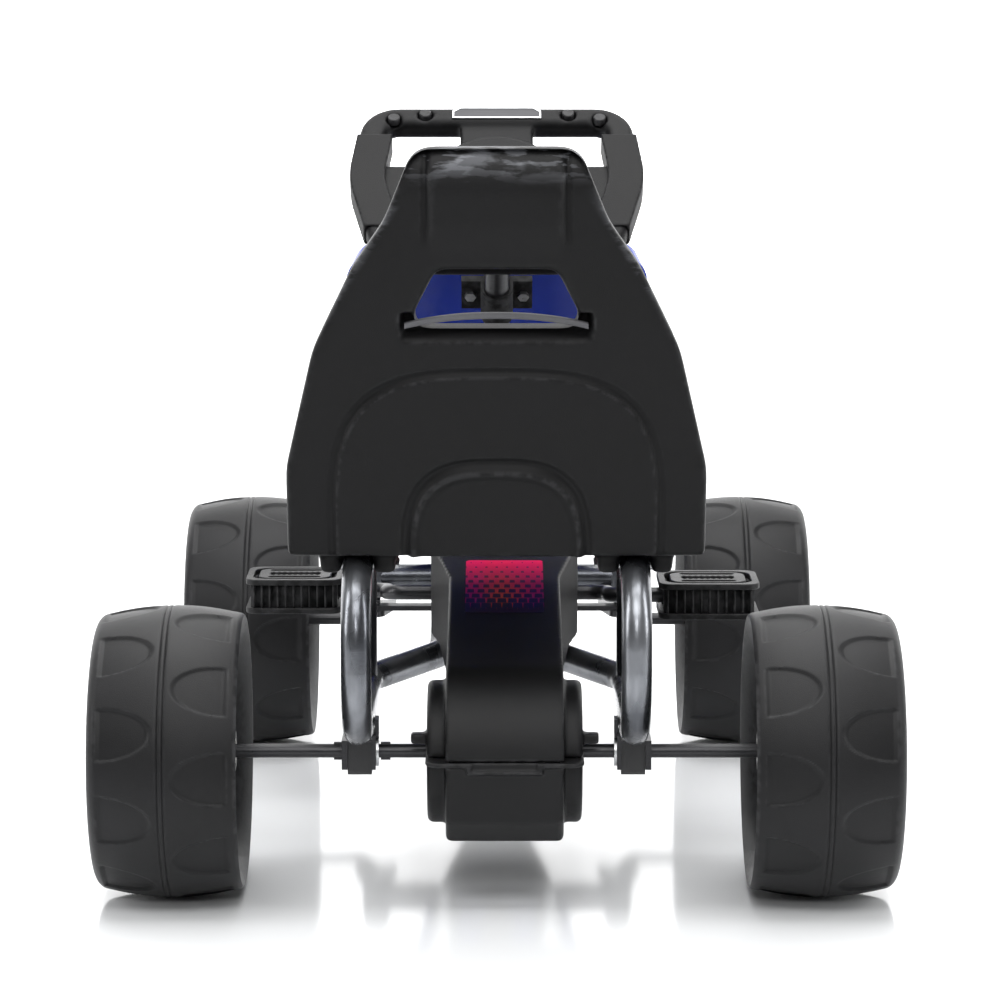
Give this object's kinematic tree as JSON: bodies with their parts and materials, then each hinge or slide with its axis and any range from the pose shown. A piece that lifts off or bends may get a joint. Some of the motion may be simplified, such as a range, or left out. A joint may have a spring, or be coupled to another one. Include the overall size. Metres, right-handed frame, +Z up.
{
  "type": "pedal go kart",
  "caption": "Child's pedal go kart: twin hairpin tube frame, moulded bucket seat, blow-moulded wheels, enclosed chain drive, tie-bar steering and a front shield.",
  "frame": {"origin": "on the ground, at the middle of the footprint", "axes": "+X to the right of the rider, +Y forward, +Z up"},
  "size_m": [0.684, 0.9471, 0.6606],
  "materials": {
    "frame_paint": "satin metallic",
    "wheel_plastic": "satin",
    "nylon": "satin",
    "hub_cap_plastic": "gloss",
    "button_plastic": "gloss",
    "grip_rubber": "matte",
    "pedal_plastic": "satin",
    "bearing_plastic": "satin",
    "case_plastic": "satin",
    "blue_plastic": "gloss",
    "label_film": "gloss",
    "seat_plastic": "matte grained",
    "steering_plastic": "satin",
    "pad_plastic": "satin",
    "badge_metal": "satin",
    "black_steel": "gloss",
    "chain_steel": "oiled",
    "zinc_steel": "zinc plated"
  },
  "bodies": {
    "frame": {"front_beam": "frame_paint", "frame_tube_left": "frame_paint", "frame_tube_right": "frame_paint", "seat_crossbar": "frame_paint", "seat_struts": "frame_paint", "rear_bracket_left": "frame_paint", "rear_bracket_right": "frame_paint", "bearing_block_left": "bearing_plastic", "bearing_block_right": "bearing_plastic", "crank_hangers": "frame_paint", "crank_bushes": "nylon", "chain_case_upper": "case_plastic", "chain_case_lower": "case_plastic", "guard_label": "label_film", "steering_post": "frame_paint", "lower_bearing": "frame_paint", "head_plate": "frame_paint", "column_strap": "zinc_steel", "strap_bolts": "zinc_steel", "front_shield": "blue_plastic", "nose_skirt": "case_plastic", "shield_brackets": "frame_paint", "chain": "chain_steel"},
    "rear_axle": {"rear_axle": "black_steel", "axle_washers": "zinc_steel", "rear_sprocket": "chain_steel", "wheel_rear_right": "wheel_plastic", "hub_bushes_rear_right": "nylon", "hub_cap_rear_right": "hub_cap_plastic"},
    "rear_left_wheel": {"wheel_rear_left": "wheel_plastic", "hub_bushes_rear_left": "nylon", "hub_cap_rear_left": "hub_cap_plastic"},
    "crank": {"crank": "black_steel", "chainring": "chain_steel"},
    "pedal_left": {"pedal_left": "pedal_plastic"},
    "pedal_right": {"pedal_right": "pedal_plastic"},
    "steering": {"steering_column": "black_steel", "steering_wheel": "steering_plastic", "hub_pad": "pad_plastic", "badge_plate": "badge_metal", "grip_left": "grip_rubber", "grip_right": "grip_rubber"},
    "knuckle_left": {"knuckle_left": "black_steel", "push_nuts_left": "zinc_steel"},
    "knuckle_right": {"knuckle_right": "black_steel", "push_nuts_right": "zinc_steel"},
    "tie_bar": {"tie_bar": "black_steel"},
    "front_left_wheel": {"wheel_front_left": "wheel_plastic", "hub_bushes_front_left": "nylon", "hub_cap_front_left": "hub_cap_plastic"},
    "front_right_wheel": {"wheel_front_right": "wheel_plastic", "hub_bushes_front_right": "nylon", "hub_cap_front_right": "hub_cap_plastic"},
    "seat": {"seat_shell": "seat_plastic", "seat_clamps": "zinc_steel"},
    "button_outer_left": {"button_outer_left": "button_plastic"},
    "button_inner_left": {"button_inner_left": "button_plastic"},
    "button_inner_right": {"button_inner_right": "button_plastic"},
    "button_outer_right": {"button_outer_right": "button_plastic"}
  },
  "joints": [
    {"name": "rear_axle_spin", "type": "hinge", "parent": "frame", "child": "rear_axle", "pos_m": [0, -0.32435, 0.125], "axis": [1, 0, 0], "continuous": true},
    {"name": "rear_left_wheel_spin", "type": "hinge", "parent": "rear_axle", "child": "rear_left_wheel", "pos_m": [-0.279, -0.32435, 0.125], "axis": [1, 0, 0], "continuous": true},
    {"name": "crank_spin", "type": "hinge", "parent": "frame", "child": "crank", "pos_m": [0, 0.02095, 0.205], "axis": [1, 0, 0], "continuous": true, "deforming": ["chain"]},
    {"name": "pedal_left_spin", "type": "hinge", "parent": "crank", "child": "pedal_left", "pos_m": [-0.194, 0.10512, 0.19317], "axis": [1, 0, 0], "continuous": true},
    {"name": "pedal_right_spin", "type": "hinge", "parent": "crank", "child": "pedal_right", "pos_m": [0.194, -0.06322, 0.21683], "axis": [1, 0, 0], "continuous": true},
    {"name": "steering_turn", "type": "hinge", "parent": "frame", "child": "steering", "pos_m": [0, -0.03635, 0.6], "axis": [0, -0.6159, 0.7878], "range_deg": [-42, 42]},
    {"name": "knuckle_left_turn", "type": "hinge", "parent": "frame", "child": "knuckle_left", "pos_m": [-0.125, 0.33565, 0.17], "axis": [0, 0, 1], "range_deg": [-21.5, 21.5]},
    {"name": "knuckle_right_turn", "type": "hinge", "parent": "frame", "child": "knuckle_right", "pos_m": [0.125, 0.33565, 0.17], "axis": [0, 0, 1], "range_deg": [-21.5, 21.5]},
    {"name": "tie_bar_swing", "type": "hinge", "parent": "knuckle_left", "child": "tie_bar", "pos_m": [-0.125, 0.28965, 0.1451], "axis": [0, 0, 1], "range_deg": [-21.5, 21.5]},
    {"name": "front_left_wheel_spin", "type": "hinge", "parent": "knuckle_left", "child": "front_left_wheel", "pos_m": [-0.25, 0.33565, 0.125], "axis": [1, 0, 0], "continuous": true},
    {"name": "front_right_wheel_spin", "type": "hinge", "parent": "knuckle_right", "child": "front_right_wheel", "pos_m": [0.25, 0.33565, 0.125], "axis": [1, 0, 0], "continuous": true},
    {"name": "seat_slide", "type": "slide", "parent": "frame", "child": "seat", "axis": [0, 1, 0], "range_m": [-0.03, 0.03]},
    {"name": "button_outer_left_press", "type": "slide", "parent": "steering", "child": "button_outer_left", "axis": [0, 0.6159, -0.7878], "range_m": [0, 0.0015], "stiffness_N_per_m": 400},
    {"name": "button_inner_left_press", "type": "slide", "parent": "steering", "child": "button_inner_left", "axis": [0, 0.6159, -0.7878], "range_m": [0, 0.0015], "stiffness_N_per_m": 400},
    {"name": "button_inner_right_press", "type": "slide", "parent": "steering", "child": "button_inner_right", "axis": [0, 0.6159, -0.7878], "range_m": [0, 0.0015], "stiffness_N_per_m": 400},
    {"name": "button_outer_right_press", "type": "slide", "parent": "steering", "child": "button_outer_right", "axis": [0, 0.6159, -0.7878], "range_m": [0, 0.0015], "stiffness_N_per_m": 400}
  ],
  "couplings": [
    {"joint": "crank_spin", "follows": "rear_axle_spin", "ratio": 0.6},
    {"joint": "knuckle_left_turn", "follows": "steering_turn", "ratio": 0.508},
    {"joint": "knuckle_right_turn", "follows": "steering_turn", "ratio": 0.508},
    {"joint": "tie_bar_swing", "follows": "steering_turn", "ratio": -0.508}
  ]
}
